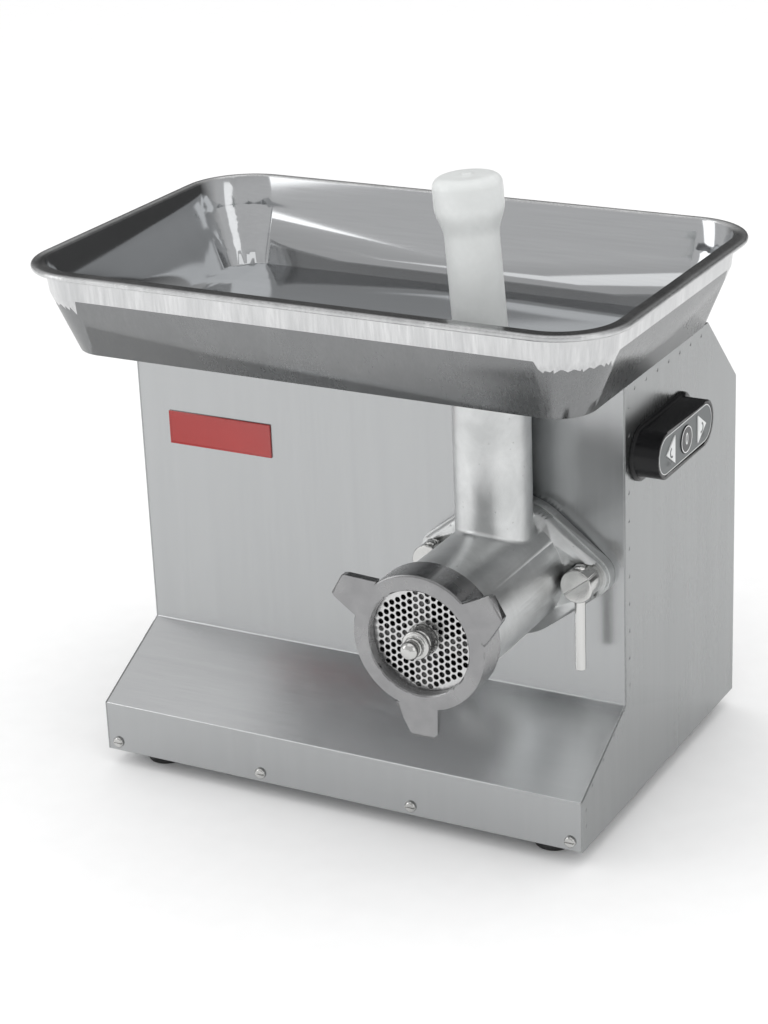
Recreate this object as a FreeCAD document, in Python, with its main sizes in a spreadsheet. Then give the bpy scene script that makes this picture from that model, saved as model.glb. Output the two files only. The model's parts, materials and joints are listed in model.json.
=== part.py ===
"""Electric meat grinder of the counter-top kind: sheet-steel housing, screw head, feed tray and gear motor.

Every place is written in the housing's own datum: X from its left side, Y back from its front edge and Z up from
its underside. The sheet's origin_x, origin_y and foot_h carry that datum to the middle of the part's footprint.
"""

import FreeCAD, Part
import math
import os
import re
import Sketcher
from FreeCAD import Placement, Rotation, Vector

DRIVING = {
    # housing, bent from sheet
    "housing_w": 460.0, "housing_h": 370.0, "back_y": 333.0, "face_y": 90.0, "kick_h": 45.0,
    "slope_top": 92.0, "top_back_y": 266.0, "chamfer_z": 302.0, "wall": 1.5, "base_t": 2.0,
    "bend_r": 1.4, "weld_pitch": 24.0, "weld_r": 1.6, "weld_deep": 0.25,
    # feet, badge and screws
    "foot_h": 15.0, "foot_r": 18.0, "foot_inset_x": 40.0, "foot_inset_y": 32.0,
    "badge_x": 30.0, "badge_w": 102.0, "badge_z": 263.0, "badge_tall": 30.0, "badge_t": 1.5, "badge_round": 3.0,
    "screw_head_r": 5.0, "screw_head_t": 3.0, "screw_z": 8.0, "screw_edge": 11.0, "shank_r": 2.5, "screw_len": 8.0,
    # tray
    "tray_x": 226.0, "tray_y": 141.0, "rim_l": 538.0, "rim_w": 347.0, "rim_round": 60.0, "flange_w": 11.0,
    "tray_base_l": 470.0, "tray_base_w": 282.0, "tray_round": 32.0, "tray_h": 77.0, "tray_band": 25.0,
    "tray_t": 1.2, "bead_r": 2.6, "throat_r": 26.0, "collar_len": 10.0,
    # head
    "head_x": 365.0, "head_z": 208.0, "neck_y": 45.0, "neck_r": 31.5, "barrel_front": -80.0, "thread_back": -60.0, "flange_y": 68.0, "flange_t": 12.0,
    "stud_gap": 67.0, "ear_r": 17.0, "cast_r": 4.0, "spigot_r": 38.0, "spigot_len": 7.0, "head_back_t": 6.0,
    # ring nut, plate, knife and worm
    "ring_len": 30.0, "ring_lip": 9.0, "arm_t": 7.0,
    "plate_r": 49.0, "plate_t": 8.0, "plate_hole_r": 2.25, "plate_pitch": 6.0, 
    "plate_hub_r": 12.5, "knife_t": 11.0, "pin_r": 9.0,
    "worm_core_r": 20.0, "worm_pitch": 42.0, "flight_t": 7.0, "shank_back_r": 19.0, "tang_w": 20.0, "tang_len": 12.0,
    # locking knobs
    "knob_r": 14.0, "knob_face_y": 54.0, "pocket_deep": 8.0, "lever_r": 4.5, "lever_y": 62.0,
    "lever_down": 76.0, "stud_r": 7.0, "stud_front": 68.5,
    # pusher
    "pusher_r": 21.6, "pusher_top": 544.0, "pusher_knob_r": 27.5, "pusher_knob_h": 29.0,
    # gearbox and motor
    "gear_box_y": 93.0, "gear_box_back": 150.0, "gear_box_t": 7.0,
    "cover_t": 14.0, "gear_gap": 2.0, "slow_w": 17.0, "fast_w": 12.0, "slow_y": 117.0,
    "slow_module": 2.5, "fast_module": 2.0, "shaft_r": 22.0, "lay_r": 11.0, "rotor_r": 10.0,
    "motor_r": 70.0, "motor_len": 124.0, "motor_bell_t": 10.0, "fan_r": 55.0, "fan_w": 12.0, "cowl_len": 26.0,
    # switch on the right side
    "switch_y": 161.0, "switch_z": 305.0, "switch_l": 120.0, "switch_tall": 40.0, "switch_out": 23.0,
    "switch_rim": 4.0, "switch_rim_t": 2.5, "arrow_near": 24.5, "arrow_far": 42.0, "arrow_half": 12.0,
    "stop_r": 11.5, "button_out": 0.7, "button_deep": 5.0, "face_t": 1.2, "face_rim": 3.5,
    # rear
    "gland_x": 60.0, "gland_z": 60.0, "gland_r": 11.0, "gland_bore": 4.5, "gland_out": 16.0,
    # clearances
    "run": 0.05, "slip": 0.3,
}

TEETH = {"slow_wheel": 52, "slow_pinion": 24, "fast_wheel": 54, "fast_pinion": 16}


def derived(v):
    """Sizes that follow from the driving ones."""
    out = {}
    out["barrel_r"] = v["plate_r"] + 1.0
    out["bore_r"] = v["plate_r"] - 5.0
    out["thread_r"] = v["plate_r"] + 4.4
    out["ring_r"] = v["plate_r"] + 7.5
    out["ring_open_r"] = v["plate_r"] - 5.4
    out["arm_reach"] = out["ring_r"] + 23.0
    out["plate_field_r"] = v["plate_r"] - 9.5
    out["lever_up"] = v["stud_gap"] - out["barrel_r"] - 0.8
    out["knife_r"] = out["bore_r"] - 2.0
    out["worm_r"] = out["bore_r"] - 0.8
    out["flange_core_r"] = out["barrel_r"] + 8.0
    slope = math.atan2(v["slope_top"] - v["kick_h"], v["face_y"])
    out["mitre"] = v["wall"] * (1 / math.cos(slope) - math.tan(slope))
    rise = math.atan2(v["housing_h"] - v["chamfer_z"], v["back_y"] - v["top_back_y"])
    out["rear_mitre"] = v["wall"] * (1 / math.cos(rise) - math.tan(rise))
    out["top_mitre"] = v["wall"] * math.tan(rise / 2)
    out["origin_x"] = -v["tray_x"]
    out["spindle_tip"] = v["barrel_front"] - v["plate_t"] / 2 + 1.0 - 27.8
    out["origin_y"] = -(v["back_y"] + v["gland_out"] + out["spindle_tip"]) / 2
    out["slow_centres"] = v["slow_module"] * (TEETH["slow_wheel"] + TEETH["slow_pinion"]) / 2
    out["fast_centres"] = v["fast_module"] * (TEETH["fast_wheel"] + TEETH["fast_pinion"]) / 2
    out["lay_x"] = v["head_x"] - out["slow_centres"]
    out["motor_x"] = out["lay_x"] - out["fast_centres"]
    out["box_half"] = v["slow_module"] * TEETH["slow_wheel"] / 2 + 13.0
    out["gear_box_l"] = out["motor_x"] - 32.0
    out["gear_box_r"] = v["head_x"] + out["box_half"] - 1.0
    out["fast_y"] = v["slow_y"] + v["slow_w"] + v["gear_gap"]
    out["motor_y"] = v["gear_box_back"] + v["cover_t"]
    out["motor_back"] = out["motor_y"] + v["motor_len"]
    out["ring_y"] = v["barrel_front"] - v["plate_t"] / 2 - v["ring_lip"] + 1.0
    out["plate_y"] = out["ring_y"] + v["ring_lip"]
    out["knife_y"] = out["plate_y"] + v["plate_t"]
    out["worm_y"] = out["knife_y"] + v["knife_t"] + 1.0
    out["pusher_foot"] = v["head_z"] + out["worm_r"] + 3.0
    reach = (v["housing_h"] - out["pusher_foot"]) / 2
    out["pusher_lean"] = math.degrees(math.atan((v["throat_r"] - v["pusher_r"] - v["slip"]) / reach))
    out["bore_back"] = v["flange_y"] + v["flange_t"] - v["head_back_t"]
    return out


DIMS = dict(DRIVING)
DIMS.update(derived(DRIVING))

doc = FreeCAD.newDocument("meat_grinder")
sheet = doc.addObject("Spreadsheet::Sheet", "dims")
for row, (alias, number) in enumerate(DIMS.items(), start=1):
    sheet.set(f"A{row}", alias)
    sheet.set(f"B{row}", repr(number))
    sheet.setAlias(f"B{row}", alias)
doc.recompute()

ALIAS = re.compile(r"[a-z]\w*")
FRONT = Rotation(Vector(1, 0, 0), 90)  # a turned piece's axis points forward
BACK = Rotation(Vector(1, 0, 0), -90)
UP = Rotation()
RIGHT = Rotation(Vector(0, 1, 0), 90)
nodes = {}


def size(name):
    """A size read back from the sheet."""
    return float(sheet.get(name))


def cells(text):
    """An expression in plain size names, with each name pointing at its cell."""
    return ALIAS.sub(lambda m: "dims." + m.group(0) if m.group(0) in DIMS else m.group(0), str(text))


def place(piece, at, turn=UP):
    """Binds a piece's place, given in the housing's datum, to the sheet."""
    piece.Placement = Placement(Vector(), turn)
    for axis, where, origin in zip("xyz", at, ("origin_x", "origin_y", "foot_h")):
        piece.setExpression(f".Placement.Base.{axis}", cells(f"{origin} + ({where})"))
    return piece


def spot(x, y, z):
    """A point of the housing's datum as a vector, for pieces that are worked out in code."""
    return Vector(x + size("origin_x"), y + size("origin_y"), z + size("foot_h"))


def outline(body, role, points):
    """A closed sketch on one of the body's origin planes, each corner bound to the sheet."""
    sketch = body.newObject("Sketcher::SketchObject", body.Name + "_outline")
    support = next(f for f in body.Origin.OriginFeatures if f.Role == role)
    sketch.AttachmentSupport = [(support, "")]
    sketch.MapMode = "FlatFace"
    count = len(points)
    rough = [Vector(50 + 40 * math.cos(k * math.tau / count), 50 + 40 * math.sin(k * math.tau / count), 0)
             for k in range(count)]
    for k in range(count):
        sketch.addGeometry(Part.LineSegment(rough[k], rough[(k + 1) % count]))
    for k in range(count):
        sketch.addConstraint(Sketcher.Constraint("Coincident", k, 2, (k + 1) % count, 1))
    for k, (across, along) in enumerate(points):
        for kind, value, start in (("DistanceX", across, rough[k].x), ("DistanceY", along, rough[k].y)):
            index = sketch.addConstraint(Sketcher.Constraint(kind, -1, 1, k, 1, start))
            sketch.setExpression(f"Constraints[{index}]", cells(value))
    return sketch


def lathe(name, points, at, turn=FRONT):
    """A turned piece: points are (radius, distance along the axis)."""
    body = doc.addObject("PartDesign::Body", name)
    sketch = outline(body, "XZ_Plane", points)
    spin = body.newObject("PartDesign::Revolution", name + "_spin")
    spin.Profile = sketch
    spin.ReferenceAxis = (sketch, ["V_Axis"])
    spin.Angle = 360
    return place(body, at, turn)


def pad(name, role, points, depth, at):
    """A plate of the given outline. XY pads rise, YZ pads run to the right and XZ pads run forward."""
    body = doc.addObject("PartDesign::Body", name)
    sketch = outline(body, role, points)
    grow = body.newObject("PartDesign::Pad", name + "_pad")
    grow.Profile = sketch
    grow.setExpression("Length", cells(depth))
    return place(body, at)


def rod(name, radius, length, at, turn=FRONT):
    piece = doc.addObject("Part::Cylinder", name)
    piece.setExpression("Radius", cells(radius))
    piece.setExpression("Height", cells(length))
    return place(piece, at, turn)


def block(name, across, deep, tall, at):
    piece = doc.addObject("Part::Box", name)
    for side, value in zip(("Length", "Width", "Height"), (across, deep, tall)):
        piece.setExpression(side, cells(value))
    return place(piece, at)


def join(name, *pieces):
    whole = doc.addObject("Part::MultiFuse", name)
    whole.Shapes = list(pieces)
    whole.Refine = True
    return whole


def cut(name, base, *tools):
    tool = tools[0] if len(tools) == 1 else gather(name + "_tools", *tools)
    rest = doc.addObject("Part::Cut", name)
    rest.Base = base
    rest.Tool = tool
    return rest


def gather(name, *pieces):
    """Like pieces kept side by side in one object."""
    group = doc.addObject("Part::Compound", name)
    group.Links = list(pieces)
    return group


def shape(name, made):
    """A piece whose shape is worked out in code from the sheet's sizes."""
    piece = doc.addObject("Part::Feature", name)
    piece.Shape = made
    return piece


def keep(name, piece):
    """Names a finished sub-part."""
    piece.Label = name
    nodes[name] = piece
    return piece


# ---------------------------------------------------------------- housing
def bend_edges(name, base, corners, radius):
    """Rounds the edges that run across the housing through the given (y, z) corners."""
    doc.recompute()
    round_off = doc.addObject("Part::Fillet", name)
    round_off.Base = base
    wanted = [spot(0, size(y) if y != "0" else 0, size(z)) for y, z in corners]
    picked = []
    for k, edge in enumerate(base.Shape.Edges, 1):
        middle = edge.CenterOfMass
        along = edge.tangentAt(edge.FirstParameter)
        if abs(along.x) > 0.99 and any(math.hypot(middle.y - w.y, middle.z - w.z) < 0.05 for w in wanted):
            picked.append((k, size(radius), size(radius)))
    if len(picked) != len(corners):
        raise RuntimeError(f"{name}: {len(picked)} bends found")
    round_off.Edges = picked
    return round_off


def weld_marks(face_x, outward):
    """Shallow round dimples where the side panel is spot-welded to the flanges of the front and top sheets."""
    marks = []
    inset = 7.0
    edges = [((size("face_y") + inset, size("slope_top") + 4), (size("face_y") + inset, size("housing_h") - inset)),
             ((inset + 2, size("kick_h") + 1), (size("face_y") + inset, size("slope_top") + 4)),
             ((size("face_y") + inset, size("housing_h") - inset), (size("top_back_y") - 4, size("housing_h") - inset)),
             ((inset, 14.0), (inset, size("kick_h") - 2))]
    for (y0, z0), (y1, z1) in edges:
        length = math.hypot(y1 - y0, z1 - z0)
        count = max(2, round(length / size("weld_pitch")))
        for k in range(count):
            part = (k + 0.5) / count
            at = spot(face_x - outward * size("weld_deep"), y0 + part * (y1 - y0), z0 + part * (z1 - z0))
            marks.append(Part.makeCylinder(size("weld_r"), 1.0, at, Vector(outward, 0, 0)))
    return Part.makeCompound(marks)


def side_panel(name, at_x):
    profile = [("0", "0"), ("back_y", "0"), ("back_y", "chamfer_z"), ("top_back_y", "housing_h"),
               ("face_y", "housing_h"), ("face_y", "slope_top"), ("0", "kick_h")]
    return pad(name, "YZ_Plane", profile, "wall", (at_x, "0", "0"))


def housing():
    left = side_panel("left_panel", "0")
    keep("left_side_panel", cut("left_panel_cut", left, shape("left_welds", weld_marks(0.0, -1))))
    right = side_panel("right_panel", "housing_w - wall")
    hole = block("switch_hole", "3 * wall", "switch_l - 20", "switch_tall - 12",
                 ("housing_w - 2 * wall", "switch_y - switch_l / 2 + 10", "switch_z - switch_tall / 2 + 6"))
    welds = shape("right_welds", weld_marks(size("housing_w"), 1))
    keep("right_side_panel", cut("right_panel_cut", right, hole, welds))
    inner = "housing_w - 2 * wall"
    front = pad("front_sheet", "YZ_Plane",
                [("0", "0"), ("0", "kick_h"), ("face_y", "slope_top"), ("face_y", "housing_h - wall"),
                 ("face_y + wall", "housing_h - wall"), ("face_y + wall", "slope_top - mitre"),
                 ("wall", "kick_h - mitre"), ("wall", "0")], inner, ("wall", "0", "0"))
    bent = bend_edges("front_bent", front, [("0", "kick_h"), ("face_y", "slope_top")], "bend_r")
    nose = rod("nose_hole", "spigot_r + 8", "6 * wall", ("head_x", "face_y + 3 * wall", "head_z"))
    shanks = [rod(f"kick_hole_{k}", "shank_r + 0.2", "4 * wall", (x, "2 * wall", "screw_z"))
              for k, x in enumerate(SCREW_X)]
    keep("front_cover", cut("front_cut", bent, nose, *shanks))
    keep("top_cover", block("top_sheet", inner, "top_back_y - face_y", "wall", ("wall", "face_y", "housing_h - wall")))
    rear = pad("rear_sheet", "YZ_Plane",
               [("back_y", "base_t"), ("back_y", "chamfer_z"), ("top_back_y", "housing_h"),
                ("top_back_y", "housing_h - wall"), ("top_back_y - top_mitre", "housing_h - wall"),
                ("back_y - wall", "chamfer_z - rear_mitre"), ("back_y - wall", "base_t")],
               inner, ("wall", "0", "0"))
    slots = [block(f"louvre_{k}_{m}", "70", "6 * wall", "5",
                   (f"90 + {m} * 190", "back_y - 4 * wall", f"100 + {k} * 14")) for k in range(8) for m in range(2)]
    gland = rod("gland_hole", "gland_r - 2.8", "6 * wall", ("gland_x", "back_y + 3 * wall", "gland_z"))
    holes = [rod(f"rear_hole_{k}", "shank_r + 0.2", "6 * wall", (x, "back_y + 3 * wall", z))
             for k, (x, z) in enumerate(REAR_SCREWS)]
    keep("rear_cover", cut("rear_cut", rear, gland, *slots, *holes))
    base = block("base_sheet", inner, "back_y - wall", "base_t", ("wall", "wall", "0"))
    bolts = [rod(f"foot_hole_{k}", "3.2", "3 * base_t", (x, y, "-base_t"), UP) for k, (x, y) in enumerate(FEET)]
    vents = [block(f"vent_{k}", "60", "5", "3 * base_t", ("230", f"180 + {k} * 12", "-base_t")) for k in range(8)]
    keep("base_plate", cut("base_cut", base, *bolts, *vents))


SCREW_X = ["screw_edge", "screw_edge + (housing_w - 2 * screw_edge) / 3",
           "screw_edge + 2 * (housing_w - 2 * screw_edge) / 3", "housing_w - screw_edge"]
REAR_SCREWS = [(x, z) for x in ("14", "housing_w / 2", "housing_w - 14") for z in ("22", "chamfer_z - 16")]
FEET = [(x, y) for x in ("foot_inset_x", "housing_w - foot_inset_x")
        for y in ("foot_inset_y", "back_y - foot_inset_y")]


def slotted_screw(name, at, turn):
    """Cheese-head screw with a straight slot: the head's back is at the given place and its shank runs behind."""
    turned = lathe(name + "_turned",
                   [("0", "0 - screw_len"), ("shank_r", "0 - screw_len"), ("shank_r", "0"), ("screw_head_r", "0"),
                    ("screw_head_r", "screw_head_t * 0.5"), ("screw_head_r * 0.7", "screw_head_t"),
                    ("0", "screw_head_t")], at, turn)
    return turned


def small_parts():
    screws = []
    for k, x in enumerate(SCREW_X):
        screw = slotted_screw(f"kick_screw_{k}", (x, "0", "screw_z"), FRONT)
        slot = block(f"kick_slot_{k}", "2 * screw_head_r + 1", "screw_head_t", "1.2",
                     (f"{x} - screw_head_r - 0.5", "0 - screw_head_t * 1.45", "screw_z - 0.6"))
        screws.append(cut(f"kick_slotted_{k}", screw, slot))
    for k, (x, z) in enumerate(REAR_SCREWS):
        screw = slotted_screw(f"rear_screw_{k}", (x, "back_y", z), BACK)
        slot = block(f"rear_slot_{k}", "2 * screw_head_r + 1", "screw_head_t", "1.2",
                     (f"{x} - screw_head_r - 0.5", "back_y + screw_head_t * 0.5", f"{z} - 0.6"))
        screws.append(cut(f"rear_slotted_{k}", screw, slot))
    keep("cover_screws", gather("cover_screw_set", *screws))
    rubber = [lathe(f"foot_{k}", [("3.2", "0"), ("3.2", "foot_h - 5"), ("7", "foot_h - 5"), ("7", "foot_h"),
                                  ("foot_r - 3", "foot_h"), ("foot_r - 0.5", "foot_h - 1.5"), ("foot_r", "0")],
                    (x, y, "0"), Rotation(Vector(1, 0, 0), 180)) for k, (x, y) in enumerate(FEET)]
    keep("rubber_feet", gather("foot_set", *rubber))
    bolts = [lathe(f"foot_bolt_{k}", [("0", "0"), ("6.5", "0"), ("6.5", "3"), ("2.8", "3"), ("2.8", "foot_h + 4"),
                                      ("0", "foot_h + 4")], (x, y, "0 - foot_h + 2"), UP)
             for k, (x, y) in enumerate(FEET)]
    keep("foot_bolts", gather("foot_bolt_set", *bolts))
    nuts = [lathe(f"foot_nut_{k}", [("2.9", "0"), ("5", "0"), ("5", "3.5"), ("2.9", "3.5")],
                  (x, y, "base_t"), UP) for k, (x, y) in enumerate(FEET)]
    keep("foot_nuts", gather("foot_nut_set", *nuts))
    plate = block("badge_blank", "badge_w", "badge_t", "badge_tall", ("badge_x", "face_y - badge_t", "badge_z"))
    round_off = doc.addObject("Part::Fillet", "badge_rounded")
    round_off.Base = plate
    doc.recompute()
    upright = [k for k, e in enumerate(plate.Shape.Edges, 1) if abs(e.tangentAt(e.FirstParameter).y) > 0.9]
    round_off.Edges = [(k, size("badge_round"), size("badge_round")) for k in upright]
    keep("badge_plate", round_off)


# ---------------------------------------------------------------- tray
def rounded(length, width, radius, height):
    """A level rounded rectangle about the tray's centre, as a wire."""
    x, y = length / 2, width / 2
    edges = []
    corners = [(x, y, 0), (-x, y, 90), (-x, -y, 180), (x, -y, 270)]
    centre = spot(size("tray_x"), size("tray_y"), size("housing_h") + height)
    arcs = []
    for cx, cy, turn in corners:
        middle = Vector(cx - math.copysign(radius, cx), cy - math.copysign(radius, cy), 0) + centre
        arcs.append(Part.makeCircle(radius, middle, Vector(0, 0, 1), turn, turn + 90))
    for k, arc in enumerate(arcs):
        after = arcs[(k + 1) % 4]
        edges.append(arc)
        edges.append(Part.makeLine(arc.valueAt(arc.LastParameter), after.valueAt(after.FirstParameter)))
    return Part.Wire(edges)


def tray():
    t, h, band = size("tray_t"), size("tray_h"), size("tray_band")
    rim_l, rim_w, round_r = size("rim_l"), size("rim_w"), size("rim_round")
    base_l, base_w, base_r = size("tray_base_l"), size("tray_base_w"), size("tray_round")
    lip = size("flange_w")
    top_l, top_w, top_r = rim_l - 2 * lip, rim_w - 2 * lip, round_r - lip

    def pan(inset, floor, top):
        low = rounded(base_l - 2 * inset, base_w - 2 * inset, base_r - inset, floor)
        bend = rounded(top_l - 2 * inset - 4, top_w - 2 * inset - 4, top_r - inset, h - band)
        high = rounded(top_l - 2 * inset, top_w - 2 * inset, top_r - inset, top)
        lower = Part.makeLoft([low, bend], True, True)
        return lower.fuse(Part.makeLoft([bend, high], True, True))

    outer = pan(0.0, 0.0, h - t)
    flat = Part.Face([rounded(rim_l - 2 * size("bead_r"), rim_w - 2 * size("bead_r"), round_r - size("bead_r"), h - t)])
    flat = flat.extrude(Vector(0, 0, t))
    path = rounded(rim_l - 2 * size("bead_r"), rim_w - 2 * size("bead_r"), round_r - size("bead_r"),
                   h - size("bead_r"))
    start = path.Edges[1].valueAt(path.Edges[1].FirstParameter)
    bead = Part.Wire(Part.makeCircle(size("bead_r"), start, path.Edges[1].tangentAt(path.Edges[1].FirstParameter)))
    roll = Part.Wire(path.Edges).makePipeShell([bead], True, False)
    whole = outer.fuse([flat, roll])
    whole = whole.cut(pan(t, t, h + t))
    hole = Part.makeCylinder(size("throat_r"), 40, spot(size("head_x"), size("neck_y"), size("housing_h") - 20))
    collar = Part.makeCylinder(size("throat_r") + t, size("collar_len"),
                               spot(size("head_x"), size("neck_y"), size("housing_h") - size("collar_len")))
    keep("feed_tray", shape("tray_pan", whole.fuse(collar).cut(hole).removeSplitter()))


# ---------------------------------------------------------------- grinding head
def oval(name, y_back, thickness, clear=0.0):
    """The flange outline: a round core with an ear at each stud, joined by straight sides."""
    core, ear, gap = size("flange_core_r") + clear, size("ear_r") + clear, size("stud_gap")
    tilt = math.acos((core - ear) / gap)
    centre = spot(size("head_x"), y_back, size("head_z"))
    forward = Vector(0, -1, 0)
    pieces = [Part.makeCylinder(core, thickness, centre, forward)]
    for side in (1, -1):
        ear_at = centre + Vector(side * gap, 0, 0)
        pieces.append(Part.makeCylinder(ear, thickness, ear_at, forward))
        near = (side * core * math.cos(tilt), core * math.sin(tilt))
        far = (side * (gap + ear * math.cos(tilt)), ear * math.sin(tilt))
        corners = [Vector(near[0], 0, near[1]), Vector(far[0], 0, far[1]),
                   Vector(far[0], 0, -far[1]), Vector(near[0], 0, -near[1])]
        ring = Part.makePolygon([centre + c for c in corners] + [centre + corners[0]])
        pieces.append(Part.Face(ring).extrude(forward * thickness))
    return shape(name, pieces[0].fuse(pieces[1:]).removeSplitter())


def blended(name, solid):
    """The casting's fillet where the neck runs into the barrel."""
    doc.recompute()
    round_off = doc.addObject("Part::Fillet", name)
    round_off.Base = solid
    foot = spot(size("head_x"), size("neck_y"), size("head_z"))
    picked = []
    for k, edge in enumerate(solid.Shape.Edges, 1):
        radii = [math.hypot(v.x - foot.x, v.y - foot.y) for v in edge.discretize(7)]
        level = max(v.z for v in edge.discretize(7)) < spot(0, 0, size("housing_h") - 5).z
        if level and max(abs(r - size("neck_r")) for r in radii) < 0.2:
            picked.append((k, size("cast_r"), size("cast_r")))
    round_off.Edges = picked
    return round_off


def head():
    at = lambda y: ("head_x", y, "head_z")
    flange = oval("head_flange_blank", size("flange_y") + size("flange_t"), size("flange_t"))
    barrel = rod("barrel_outer", "barrel_r", "flange_y + flange_t - barrel_front", at("flange_y + flange_t"))
    thread = rod("barrel_thread", "thread_r", "thread_back - barrel_front", at("thread_back"))
    neck = rod("neck_outer", "neck_r", "housing_h - head_z", ("head_x", "neck_y", "head_z"), UP)
    spigot = rod("head_spigot", "spigot_r", "spigot_len + 1", at("flange_y + flange_t + spigot_len"))
    elbow = blended("head_blend", join("head_elbow", barrel, neck))
    solid = join("head_solid", elbow, flange, thread, spigot)
    bore = rod("barrel_bore", "bore_r", "bore_back - barrel_front + 2", at("bore_back"))
    seat = rod("plate_seat", "plate_r + slip", "knife_y - barrel_front + 5", at("knife_y"))
    shank = rod("shank_hole", "shank_back_r + run", "40", at("bore_back + 30"))
    throat = rod("throat_bore", "throat_r", "housing_h - head_z + 5", ("head_x", "neck_y", "head_z"), UP)
    step = rod("collar_seat", "throat_r + tray_t + slip", "collar_len + 6",
               ("head_x", "neck_y", "housing_h - collar_len - 1"), UP)
    pockets = []
    for side, word in ((1, "right"), (-1, "left")):
        x = f"head_x + ({side}) * stud_gap"
        pockets.append(rod(f"{word}_pocket", "knob_r + 1.2", "pocket_deep + 20", (x, "flange_y + pocket_deep", "head_z")))
        pockets.append(block(f"{word}_pocket_mouth", "ear_r + 6", "pocket_deep + 20", "2 * knob_r + 2.4",
                             (x if side > 0 else f"{x} - ear_r - 6", "flange_y - 20", "head_z - knob_r - 1.2")))
        pockets.append(rod(f"{word}_stud_hole", "stud_r + slip", "60", (x, "flange_y + 40", "head_z")))
    key = rod("key_seat", "1.85", "5", ("head_x", "knife_y - 0.5", "head_z + plate_r"), FRONT)
    keep("head_body", cut("head_cut", solid, bore, seat, shank, throat, step, key, *pockets))
    mouth = oval("mouth_blank", size("face_y") - 0.2, size("face_y") - 0.2 - size("flange_y") - size("flange_t"), 1.5)
    boss = rod("mouth_boss", "spigot_r + 7", "gear_box_y - face_y + 1", at("gear_box_y"))
    mouth_solid = join("mouth_solid", mouth, boss)
    spigot_seat = rod("spigot_seat", "spigot_r + slip", "40", at("gear_box_y + 10"))
    holes = [rod(f"mouth_hole_{k}", "stud_r", "60", (f"head_x + ({k}) * stud_gap", "face_y + 20", "head_z"))
             for k in (1, -1)]
    keep("mouth_flange", cut("mouth_cut", mouth_solid, spigot_seat, *holes))
    keep("ring_nut", ring_nut(at))
    keep("cutter_plate", cutter_plate())
    keep("plate_key", rod("plate_key_pin", "1.8", "5", ("head_x", "knife_y - 0.5", "head_z + plate_r"), FRONT))
    knobs(at)


def ring_nut(at):
    turned = lathe("ring_turned",
                   [("thread_r + slip", "0"), ("ring_r - 0.8", "0"), ("ring_r", "0.8"), ("ring_r", "ring_len - 1.5"),
                    ("ring_r - 1.5", "ring_len"), ("ring_open_r + 1.2", "ring_len"),
                    ("ring_open_r", "ring_len - 1.2"), ("ring_open_r", "ring_len - ring_lip"),
                    ("thread_r + slip", "ring_len - ring_lip")], at("ring_y + ring_len"))
    reach = "0 - arm_reach"
    arms = []
    for k in range(3):
        arm = pad(f"ring_arm_{k}", "XZ_Plane",
                  [("-22", "0 - ring_r + 3.5"), ("-10", f"{reach} + 3"), ("-7.5", reach), ("10.5", reach),
                   ("12.5", f"{reach} + 2.5"), ("15", "0 - ring_r + 3")], "arm_t", at("ring_y + 0.8 + arm_t"))
        doc.recompute()
        made = arm.Shape.copy()
        made.rotate(spot(size("head_x"), 0, size("head_z")), Vector(0, 1, 0), 120 * k)
        arms.append(shape(f"ring_arm_turned_{k}", made))
    return join("ring_whole", turned, *arms)


def cutter_plate():
    """Perforated disc: round holes in a triangular grid, whose columns stand upright."""
    centre = spot(size("head_x"), size("knife_y"), size("head_z"))
    forward = Vector(0, -1, 0)
    disc = Part.makeCylinder(size("plate_r"), size("plate_t"), centre, forward)
    pitch, step = size("plate_pitch"), size("plate_pitch") * math.sqrt(3) / 2
    reach = int(size("plate_field_r") // step)
    holes = []
    for column in range(-reach, reach + 1):
        shift = pitch / 2 if column % 2 else 0.0
        for row in range(-9, 10):
            x, z = column * step, row * pitch + shift
            if size("plate_hub_r") < math.hypot(x, z) < size("plate_field_r"):
                holes.append(Part.makeCylinder(size("plate_hole_r"), size("plate_t") + 2,
                                               centre + Vector(x, 1, z), forward))
    bore = Part.makeCylinder(size("pin_r") + 2 * size("run"), size("plate_t") + 2, centre + Vector(0, 1, 0), forward)
    notch = Part.makeCylinder(2.1, size("plate_t") + 2, centre + Vector(0, 1, size("plate_r")), forward)
    return shape("plate_drilled", disc.cut(Part.makeCompound(holes + [bore, notch])))


SLOT_TILT = math.radians(38)


def knobs(at):
    studs = []
    for side, word in ((1, "right"), (-1, "left")):
        x = f"head_x + ({side}) * stud_gap"
        length = "flange_y + pocket_deep - knob_face_y"
        turned = lathe(f"{word}_knob_turned",
                       [("0", "0"), ("knob_r", "0"), ("knob_r", f"{length} - 0.8"), ("knob_r - 0.8", length),
                        ("0", length)], (x, "flange_y + pocket_deep", "head_z"))
        thread = rod(f"{word}_knob_bore", "stud_r + run", "40",
                     (x, "stud_front + 39.5", "head_z"))
        cross = rod(f"{word}_knob_cross", "lever_r", "2 * knob_r + 10", (x, "lever_y", "head_z - knob_r - 5"), UP)
        groove = [(f"{(a * math.cos(SLOT_TILT) - b * math.sin(SLOT_TILT)):.4f}",
                   f"{(a * math.sin(SLOT_TILT) + b * math.cos(SLOT_TILT)):.4f}")
                  for a, b in ((-17, -0.5), (17, -0.5), (17, 0.5), (-17, 0.5))]
        slot = pad(f"{word}_knob_slot", "XZ_Plane", groove, "2", (x, "knob_face_y + 1", "head_z"))
        keep(f"{word}_knob", cut(f"{word}_knob_cut", turned, thread, cross, slot))
        keep(f"{word}_lever", lathe(f"{word}_lever_rod",
                                    [("0", "0 - lever_down"), ("lever_r - 1", "0 - lever_down"),
                                     ("lever_r", "1 - lever_down"), ("lever_r", "lever_up - 1.5"),
                                     ("lever_r - 1.5", "lever_up"), ("0", "lever_up")],
                                    (x, "lever_y", "head_z"), UP))
        studs.append(rod(f"{word}_stud_rod", "stud_r", "face_y - 0.2 - stud_front", (x, "face_y - 0.2", "head_z")))
    keep("clamp_studs", gather("stud_set", *studs))


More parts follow.
